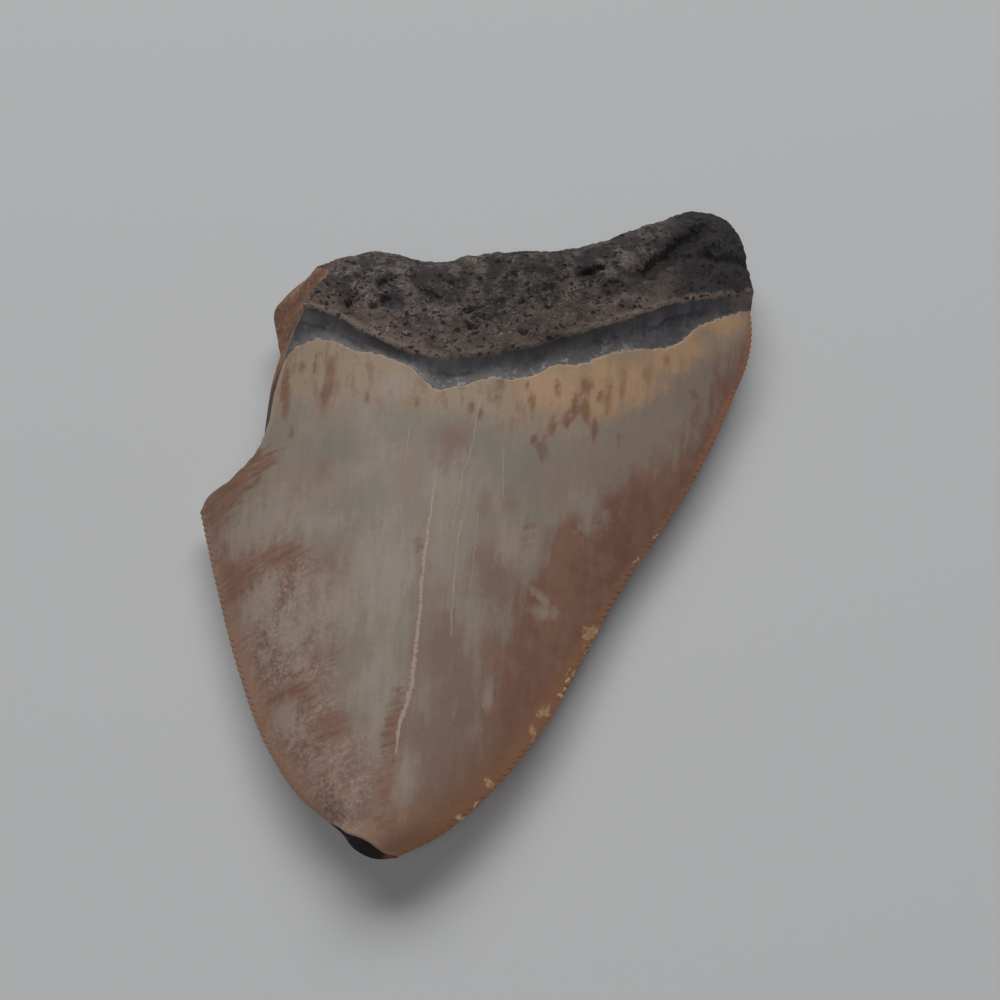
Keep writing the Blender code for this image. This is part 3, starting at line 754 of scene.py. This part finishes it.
class Graph:
    """Adds nodes to a material and joins them up."""

    def __init__(self, material):
        material.use_nodes = True
        self.tree = material.node_tree
        self.shader = self.tree.nodes["Principled BSDF"]

    def add(self, kind, inputs=(), **settings):
        node = self.tree.nodes.new("ShaderNode" + kind)
        for name, value in settings.items():
            setattr(node, name, value)
        for name, value in dict(inputs).items():
            self.feed(node.inputs[name], value)
        return node

    def feed(self, socket, value):
        if isinstance(value, bpy.types.NodeSocket):
            self.tree.links.new(value, socket)
        else:
            socket.default_value = value

    def number(self, name):
        return self.add("Attribute", attribute_name=name).outputs["Fac"]

    def math(self, operation, a, b=0):
        return self.add("Math", {0: a, 1: b}, operation=operation).outputs[0]

    def all_of(self, *amounts):
        """The product of several amounts, so that it is 1 only where all of them are."""
        product = amounts[0]
        for amount in amounts[1:]:
            product = self.math("MULTIPLY", product, amount)
        return product

    def swung(self, value, **swings):
        """A value with patterns added by name, each swinging about its middle by the amount given."""
        for name, amount in swings.items():
            swing = self.math("SUBTRACT", getattr(self.patterns, name), 0.5)
            value = self.math("ADD", value, self.math("MULTIPLY", swing, amount))
        return value

    def step(self, value, low, high, to_low=0, to_high=1, **swings):
        """Goes smoothly from one value to another as the input, swung or not, goes from low to high."""
        inputs = {"Value": self.swung(value, **swings), "From Min": low, "From Max": high,
                  "To Min": to_low, "To Max": to_high}
        return self.add("MapRange", inputs, interpolation_type="SMOOTHSTEP").outputs[0]

    def size_of(self, value):
        return self.math("ABSOLUTE", value)

    def blend(self, amount, a, b, kind="MIX"):
        node = self.add("Mix", data_type="RGBA", blend_type=kind)
        self.feed(node.inputs[0], amount)
        self.feed(node.inputs[6], a)
        self.feed(node.inputs[7], b)
        return node.outputs[2]

    def sized(self, vector, width, length, turn=0):
        """The vector measured in widths and lengths, along axes that are turned by some degrees."""
        inputs = {"Vector": vector, "Rotation": (0, 0, math.radians(turn)), "Scale": (width, length, width)}
        return self.add("Mapping", inputs, vector_type="TEXTURE").outputs[0]

    def noise(self, vector, detail, rough):
        inputs = {"Vector": vector, "Scale": 1, "Detail": detail, "Roughness": rough}
        return self.add("TexNoise", inputs).outputs["Fac"]

    def cells(self, vector):
        """How far each place lies from the middle of its cell, and a random number for each cell."""
        node = self.add("TexVoronoi", {"Vector": vector, "Scale": 1}, feature="F1")
        random = self.add("SeparateColor", {0: node.outputs["Color"]}).outputs[0]
        return node.outputs["Distance"], random


class Patterns:
    """The noises that all the finishes share, sized in millimetres and turned by degrees."""

    def __init__(self, g):
        place = g.add("TexCoord").outputs["Object"]
        mm = g.add("Mapping", {"Vector": place, "Scale": (1 / MM, 1 / MM, 1 / MM)}).outputs[0]
        self.sideways = g.number("sideways")
        self.along = g.number("along")
        growth = g.add("CombineXYZ", {"X": g.number("across"), "Y": self.along}).outputs[0]
        self.fibres = g.noise(g.sized(growth, 0.42, 4.5), 4, 0.62)
        self.threads = g.noise(g.sized(growth, 0.34, 11), 2, 0.5)
        self.fingers = g.noise(g.sized(growth, 1, 5.5), 4, 0.6)
        self.side_fingers = g.noise(g.sized(mm, 3.2, 0.55, 23), 4, 0.6)
        self.clouds = g.noise(g.sized(mm, 6, 9), 4, 0.55)
        self.blotches = g.noise(g.sized(mm, 2, 2.4), 5, 0.62)
        self.mottle = g.noise(g.sized(mm, 0.55, 0.5, 23), 4, 0.7)
        self.grain = g.noise(g.sized(mm, 0.2, 0.2), 2, 0.6)
        self.chips = g.noise(g.sized(mm, 0.42, 0.34, 65), 2, 0.5)
        self.pits = g.noise(g.sized(mm, 0.55, 0.45, 15), 1.5, 0.5)
        spread = g.add("CombineXYZ", {"X": self.blotches, "Y": self.mottle}).outputs[0]
        self.warped = g.add("VectorMath", {0: mm, 1: spread}, operation="ADD").outputs[0]


def tooth_material():
    material = bpy.data.materials.new("fossil_tooth")
    g = Graph(material)
    p = g.patterns = Patterns(g)
    past_enamel = g.swung(g.number("past_enamel"), mottle=0.9, grain=0.2)
    past_root = g.swung(g.number("past_root"), blotches=0.8, mottle=0.25)
    is_neck = g.step(past_enamel, -0.04, 0.06)
    is_root = g.step(past_root, -0.1, 0.12)
    is_broken = g.step(g.number("brink"), 0.03, -0.05, mottle=0.12)

    enamel = enamel_finish(g, p, past_enamel)
    neck = neck_finish(g, p, past_enamel, past_root)
    root, root_height = root_finish(g, p, past_root)
    # painted shade: the neck and the root are darkened across the middle of the tooth, as shade in the
    # neck's deeper hollow there
    middle = g.size_of(g.math("SUBTRACT", p.sideways, 2))
    middle_painted_shade = g.step(middle, 5, 12, 0.84, 1.05, clouds=5)
    surface = g.blend(is_neck, enamel, g.blend(1, neck, middle_painted_shade, "MULTIPLY"))
    surface = g.blend(is_root, surface, g.blend(1, root, middle_painted_shade, "MULTIPLY"))
    surface = g.blend(is_broken, surface, fracture_finish(g, p))
    g.feed(g.shader.inputs["Base Color"], surface)

    bare = g.math("MAXIMUM", is_root, is_broken)
    rough = g.step(p.blotches, 0.2, 0.8, 0.42, 0.56)
    rough = g.blend(is_neck, rough, NECK_ROUGHNESS)
    g.feed(g.shader.inputs["Roughness"], g.blend(bare, rough, ROOT_ROUGHNESS))
    g.shader.inputs["Specular IOR Level"].default_value = SHEEN

    enamel_height = g.swung(g.all_of(p.fibres, 0.5), blotches=0.6, mottle=0.25)
    fine = g.add("Bump", {"Strength": ENAMEL_BUMP_STRENGTH, "Distance": ENAMEL_BUMP,
                                    "Height": enamel_height})
    deep = g.add("Bump", {"Strength": bare, "Distance": ROOT_BUMP, "Height": root_height,
                                    "Normal": fine.outputs[0]})
    g.feed(g.shader.inputs["Normal"], deep.outputs[0])
    return material


def enamel_finish(g, p, past_enamel):
    """Stained enamel: grey-beige, cream by the neck, red-brown on the right, speckled mauve on the left."""
    base = g.blend(g.step(p.clouds, 0.38, 0.62, fingers=0.5), ENAMEL.grey, ENAMEL.pale)
    base = add_spots(g, base, cool=0.65, rose=0.8, dusk=0.9)
    base = add_mauve_side(g, p, base)
    base = add_cream_band(g, p, base)
    base = add_rust(g, p, base)
    base = add_spots(g, base, faint=0.55, haze=0.72)
    base = add_growth_lines(g, p, base)
    base = add_cutting_edges(g, p, base)
    base = add_cracks(g, p, base)
    lip = g.all_of(g.step(past_enamel, -0.34, -0.04), g.step(p.blotches, 0.4, 0.66, 0.05, 0.7, mottle=0.5))
    return g.blend(lip, base, ENAMEL.lip)


def add_spots(g, base, **strengths):
    """Soft patches of tints, each named with its strength and drawn out along the growth lines."""
    for name, strength in strengths.items():
        amount = g.step(g.number(name), 0.12, 0.88, fingers=1.2, blotches=1.1, mottle=0.4)
        base = g.blend(g.all_of(amount, strength), base, getattr(ENAMEL, name))
    return base


def add_mauve_side(g, p, base):
    """The left side, mauve with pink and dusk-tinted speckles that run together near the edge."""
    inside = g.swung(g.number("mauve"), clouds=5, blotches=7, mottle=5)
    speckled = g.blend(g.step(p.blotches, 0.34, 0.66), ENAMEL.dusk, ENAMEL.mauve)
    speckled = g.blend(g.step(p.mottle, 0.42, 0.72, 0, 0.8, side_fingers=0.4), speckled, ENAMEL.pink)
    speckled = g.blend(g.step(p.clouds, 0.58, 0.74, 0, 0.6, mottle=0.9), speckled, ENAMEL.pale)
    fine = g.step(p.mottle, 0.3, 0.7, 0.88, 1.12, grain=1.2, side_fingers=0.5)
    speckled = g.blend(1, speckled, fine, "MULTIPLY")
    return g.blend(g.step(inside, -1.4, 4.2), base, speckled)


def add_cream_band(g, p, base):
    """The cream band below the enamel's rim, with amber and umber clouds and red-brown streaks."""
    inside = g.swung(g.number("cream"), fingers=6, blotches=6, mottle=1.5)
    cream = g.blend(g.step(p.fingers, 0.46, 0.68, blotches=0.8), ENAMEL.cream, ENAMEL.umber)
    amber = g.step(g.number("amber"), 0.22, 0.78, fingers=0.8, blotches=0.9)
    cream = g.blend(amber, cream, ENAMEL.amber)
    base = g.blend(g.step(inside, -2, 2.6), base, cream)
    streak = g.step(g.number("streak"), 0.28, 0.8, fibres=0.5, mottle=0.5, blotches=0.9)
    faint = g.step(p.sideways, 9, 15, 1, 0.5)
    return g.blend(g.all_of(streak, faint, g.step(p.blotches, 0.25, 0.65, 0.5, 0.85)), base, ENAMEL.streak)


def add_rust(g, p, base):
    """The red-brown right side and tip, and patches of the same stain on the left."""
    inside = g.swung(g.number("rust"), fingers=3.4, blotches=2.6, mottle=0.8)
    rust = g.blend(g.step(p.clouds, 0.38, 0.62, blotches=0.8), ENAMEL.deep_rust, ENAMEL.rust)
    rust = g.blend(g.step(p.along, -24, -38, 0, 0.85, clouds=16), rust, ENAMEL.tip)
    base = g.blend(g.step(inside, -0.7, 0.9), base, rust)
    spots = g.step(p.blotches, 0.4, 0.7, 0, 0.8, mottle=1, side_fingers=1.2)
    spotted = g.blend(spots, g.blend(0.6, rust, ENAMEL.rust), ENAMEL.streak)
    left = g.swung(g.number("left_rust"), side_fingers=8, blotches=5, mottle=2.5)
    patch = g.swung(g.number("rust_spot"), side_fingers=1.5, blotches=0.6, mottle=0.5)
    stained = g.math("MAXIMUM", g.step(left, -1, 1.4), g.step(patch, 0.24, 0.78))
    return g.blend(g.all_of(stained, 0.85), base, spotted)


def add_growth_lines(g, p, base):
    """The fine lines along the blade, some a little darker, and a few thin and pale."""
    shade = g.step(p.fibres, 0.25, 0.75, 0.97, 1.03, fingers=0.8, blotches=0.8)
    base = g.blend(1, base, shade, "MULTIPLY")
    speck = g.step(p.grain, 0.25, 0.75, 0.955, 1.045, mottle=0.8)
    base = g.blend(1, base, speck, "MULTIPLY")
    thread = g.all_of(g.step(p.threads, 0.66, 0.76), g.step(p.blotches, 0.5, 0.66), 0.26)
    return g.blend(thread, base, ENAMEL.hairline)


def add_cutting_edges(g, p, base):
    """The serrated edges: tan on the left and orange on the right, with a dark tick in each notch."""
    edge = g.number("edge")
    on_right = g.step(p.sideways, -9, -6)
    tan = g.blend(on_right, EDGE.tan, EDGE.orange)
    band = g.swung(edge, side_fingers=2.4, clouds=2.4, blotches=1.4)
    widest = g.step(p.along, -26, -6, 3.2, 1.5)
    base = g.blend(g.step(band, widest, 0.1, 0, 0.85), base, tan)
    wave = g.math("COSINE", g.math("MULTIPLY", g.swung(g.number("notch"), mottle=0.35), 2 * math.pi))
    reach = g.step(edge, 0.95, 0.35, mottle=0.9)
    tick = g.all_of(g.step(wave, -0.45, -0.95), reach, g.step(p.blotches, 0.38, 0.58, 0.08, 0.5))
    base = g.blend(tick, base, EDGE.tick)
    bare = g.step(g.number("bare_edge"), 0.38, 0.62, mottle=1.3, blotches=0.8)
    worn = g.blend(g.step(p.mottle, 0.4, 0.7, 0, 0.7, grain=0.8), EDGE.bare, EDGE.bone)
    base = g.blend(g.all_of(bare, 0.8), base, worn)
    random = g.cells(g.sized(p.warped, 0.36, 0.8, -50))[1]
    close = g.step(edge, 1.1, 0.7, mottle=1)
    flake = g.all_of(g.step(g.number("flaking"), 0.3, 0.6), g.step(random, 0.82, 0.86), close)
    base = g.blend(g.all_of(flake, 0.85), base, EDGE.bone)
    brink = g.step(g.number("brink"), 0.62, 0.16, mottle=0.5, blotches=0.5)
    shown = g.math("MAXIMUM", g.step(p.along, 1, 4), g.step(p.along, -36, -39, 0, 0.5))
    return g.blend(g.all_of(brink, shown, 0.5), base, ENAMEL.lip)


def add_cracks(g, p, base):
    """The long pale crack, which widens towards the tip, and the hair cracks beside it."""
    width = g.number("long_crack_width")
    off = g.size_of(g.swung(g.number("long_crack"), blotches=0.5, mottle=0.22))
    half = g.all_of(width, g.step(p.mottle, 0.25, 0.75, 0.1, 0.72, grain=0.8))
    shadow = g.all_of(g.step(off, 1.1, 0.2), g.step(width, 0.1, 0.4), 0.45)
    base = g.blend(shadow, base, ENAMEL.rust)
    filled = g.step(g.math("SUBTRACT", off, half), 0.06, -0.04)
    base = g.blend(g.all_of(filled, g.step(width, 0, 0.15), 0.9), base, ENAMEL.filling)
    for number, (hair_width, _) in enumerate(HAIR_CRACKS):
        off = g.size_of(g.swung(g.number(f"hair_crack_{number}"), blotches=0.5, mottle=0.15))
        hair = g.all_of(g.step(off, hair_width, hair_width * 0.3), g.step(p.blotches, 0.34, 0.6, 0.1, 0.6))
        base = g.blend(hair, base, ENAMEL.filling)
    return base


def neck_finish(g, p, past_enamel, past_root):
    """The smooth slate band between the enamel and the root, ash grey and flaked along its foot, with
    painted shade in a groove and under the root's lip.
    """
    base = g.blend(g.step(p.blotches, 0.34, 0.66, fingers=0.8, mottle=0.5), NECK.dark, NECK.slate)
    foot = g.step(past_enamel, 1.6, 0.4, clouds=6, blotches=4.5, mottle=2)
    base = g.blend(g.all_of(foot, 0.85), base, g.blend(g.step(p.mottle, 0.34, 0.66), NECK.slate, NECK.ash))
    low = g.step(past_enamel, 2.4, 0.7, mottle=1.5)
    middle = g.step(g.size_of(g.swung(p.sideways, clouds=8)), 16, 8, 0.2, 1)
    flake = g.step(p.mottle, 0.54, 0.68, blotches=0.9, grain=0.3)
    base = g.blend(g.all_of(flake, low, middle, 0.9), base, NECK.flake)
    # painted shade: a dark line along the neck stands for the shade in a groove that the mesh doesn't have
    groove = g.size_of(g.swung(g.math("ADD", past_root, 1.3), clouds=3, blotches=1))
    base = g.blend(g.all_of(g.step(groove, 0.3, 0.04), g.step(p.clouds, 0.4, 0.55), 0.5), base, ROOT.pit)
    # painted shadow: the neck darkens just below the root's lip, which overhangs it
    base = g.blend(g.step(past_root, -1.2, -0.2, 0, 0.55, blotches=1.6), base, NECK.dark)
    end = g.step(p.sideways, 24, 31, 0, 0.8, blotches=6, mottle=3)
    return g.blend(end, base, ROOT.lip_tan)


def root_finish(g, p, past_root):
    """Dark porous root, redder towards its tan lip, with pale specks and with painted shade in its pits, its
    bluish hollows and its cracks.
    """
    base = g.blend(g.step(p.blotches, 0.38, 0.62, mottle=0.5), ROOT.dark, ROOT.brown)
    base = g.blend(g.step(p.clouds, 0.54, 0.7, 0, 0.7, mottle=0.6), base, ROOT.red)
    base = g.blend(g.step(past_root, 4.6, 0.6, 0, 0.65, blotches=9), base, ROOT.red)
    base = g.blend(g.step(p.clouds, 0.5, 0.4, 0, 0.55, blotches=1), base, ROOT.dark)
    ridges = g.step(p.blotches, 0.54, 0.74, 0, 0.55, chips=0.2, mottle=0.4)
    base = g.blend(ridges, base, ROOT.tan)
    base = g.blend(g.step(p.sideways, 15.5, 20.5, 0, 0.9, blotches=6), base, ROOT.coal)
    lip = g.step(past_root, 0.9, 0.2, mottle=0.8, blotches=1.4)
    aside = g.step(g.size_of(p.sideways), 4, 10, 0.1, 0.9)
    base = g.blend(g.all_of(lip, aside), base, ROOT.lip_tan)
    # painted shade: the root's sunk hollows are darkened, with a bluish tone on the left part of the root
    sunk = g.step(g.number("sunk"), 0.1, 0.5, mottle=0.35)
    bluish = g.all_of(g.step(p.clouds, 0.42, 0.58), g.step(p.sideways, 6, 0))
    base = g.blend(g.all_of(sunk, 0.8), base, g.blend(bluish, ROOT.pit, ROOT.blue))
    on_left = g.step(p.sideways, 17, 8, blotches=8)
    # painted shade: dark pits and fissures, which the bump also sinks a little
    off, random = g.cells(g.sized(p.warped, 1.25, 1.05, 20))
    pit_bump_and_shade = g.all_of(g.step(off, 0.3, 0.17, mottle=0.25), g.step(random, 0.4, 0.44))
    pit_bump_and_shade = g.math("MAXIMUM", pit_bump_and_shade, g.step(p.pits, 0.36, 0.29, blotches=-0.35))
    between = g.add("TexVoronoi", {"Vector": g.sized(p.warped, 3.4, 1.5, 25), "Scale": 1},
                    feature="DISTANCE_TO_EDGE").outputs["Distance"]
    fissure = g.all_of(g.step(between, 0.05, 0, mottle=0.12), g.step(p.blotches, 0.53, 0.62), on_left)
    pit_bump_and_shade = g.math("MAXIMUM", pit_bump_and_shade, g.all_of(fissure, 0.8))
    base = g.blend(g.all_of(pit_bump_and_shade, 0.85), base, ROOT.pit)
    speck = g.step(p.chips, 0.67, 0.76, clouds=0.4, blotches=0.2)
    base = g.blend(g.all_of(speck, on_left, 0.8), base, ROOT.speck)
    height = g.swung(g.all_of(p.grain, 0.3), mottle=0.9, blotches=1.3, chips=0.4)
    return base, g.math("SUBTRACT", height, g.all_of(pit_bump_and_shade, 0.9))


def fracture_finish(g, p):
    """Bare dentine: orange on the broken lobe, slate down the broken blade and black at the chipped tip."""
    orange = g.blend(g.step(p.blotches, 0.36, 0.64, clouds=0.8, mottle=0.3), BREAK.brown, BREAK.orange)
    slate = g.blend(g.step(p.blotches, 0.36, 0.7, 0, 0.7, mottle=0.8), BREAK.slate, BREAK.brown)
    base = g.blend(g.step(p.along, 9.5, 16, clouds=14, blotches=6), slate, orange)
    red = g.step(p.sideways, -8.2, -7, mottle=1)
    dusty = g.all_of(g.step(p.mottle, 0.45, 0.7, blotches=0.5), g.step(p.sideways, -9, -12, 0, 0.25))
    chip = g.blend(red, g.blend(dusty, BREAK.black, BREAK.brown), BREAK.red)
    return g.blend(g.step(p.along, -37, -38), base, chip)


# ---- the stage ----

CAMERA_AZIMUTH = 5.0
CAMERA_ELEVATION = 58.0
CAMERA_DISTANCE = 157.0
CAMERA_FIELD = 40.0
CAMERA_TARGET = Vector((0.0, 0.0, 6.0))  # in the outline's own coordinates
FLOOR_GREY = (0.592, 0.601, 0.615, 1.0)
FLOOR_SIZE = 4.0  # metres from its middle to its side
LIGHT_TINT = (1.0, 0.995, 0.985)
SKY_TINT = (0.95, 0.98, 1.0, 1.0)
SKY_STRENGTH = 0.03


def direction(azimuth, elevation):
    """The way towards a point seen at an azimuth, counted from the front, and an elevation."""
    a, e = math.radians(azimuth), math.radians(elevation)
    return Vector((math.sin(a) * math.cos(e), -math.cos(a) * math.cos(e), math.sin(e)))


def aim(thing, towards):
    thing.rotation_euler = towards.to_track_quat("Z", "Y").to_euler()


def add_camera():
    camera = add_object("camera", bpy.data.cameras.new("camera"))
    camera.data.sensor_width = 36.0
    camera.data.lens = 18.0 / math.tan(math.radians(CAMERA_FIELD / 2))
    camera.data.clip_start = 0.01
    back = direction(CAMERA_AZIMUTH, CAMERA_ELEVATION)
    centre = plan_centre()
    target = CAMERA_TARGET - Vector((centre[0], centre[1], 0.0))
    camera.location = (target + back * CAMERA_DISTANCE) * MM
    aim(camera, back)
    bpy.context.scene.camera = camera


def add_light(name, azimuth, elevation, distance, width, height, power):
    light = add_object(name, bpy.data.lights.new(name, "AREA"))
    light.data.shape = "RECTANGLE"
    light.data.size = width
    light.data.size_y = height
    light.data.energy = power
    light.data.color = LIGHT_TINT
    towards = direction(azimuth, elevation)
    light.location = towards * distance
    aim(light, towards)


def add_stage():
    floor_mesh = bpy.data.meshes.new("floor")
    sheet = bmesh.new()
    bmesh.ops.create_grid(sheet, x_segments=1, y_segments=1, size=FLOOR_SIZE)
    sheet.to_mesh(floor_mesh)
    sheet.free()
    material = bpy.data.materials.new("pale_floor")
    material.use_nodes = True
    inputs = material.node_tree.nodes["Principled BSDF"].inputs
    inputs["Base Color"].default_value = FLOOR_GREY
    inputs["Roughness"].default_value = 0.9
    inputs["Specular IOR Level"].default_value = 0.1
    floor_mesh.materials.append(material)
    floor = add_object("floor", floor_mesh)


def add_world():
    world = bpy.data.worlds.new("soft_sky")
    world.use_nodes = True
    background = world.node_tree.nodes["Background"]
    background.inputs["Color"].default_value = SKY_TINT
    background.inputs["Strength"].default_value = SKY_STRENGTH
    bpy.context.scene.world = world


tooth = build_tooth()
tooth.data.materials.append(tooth_material())
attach(tooth, "root")
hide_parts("tooth")

add_stage()
add_world()
add_light("window", azimuth=189.0, elevation=52.0, distance=1.2, width=1.3, height=0.7, power=11.0)
add_light("fill", azimuth=0.0, elevation=58.0, distance=1.2, width=0.6, height=0.6, power=3.0)
add_camera()
bpy.context.scene.view_settings.view_transform = "Standard"
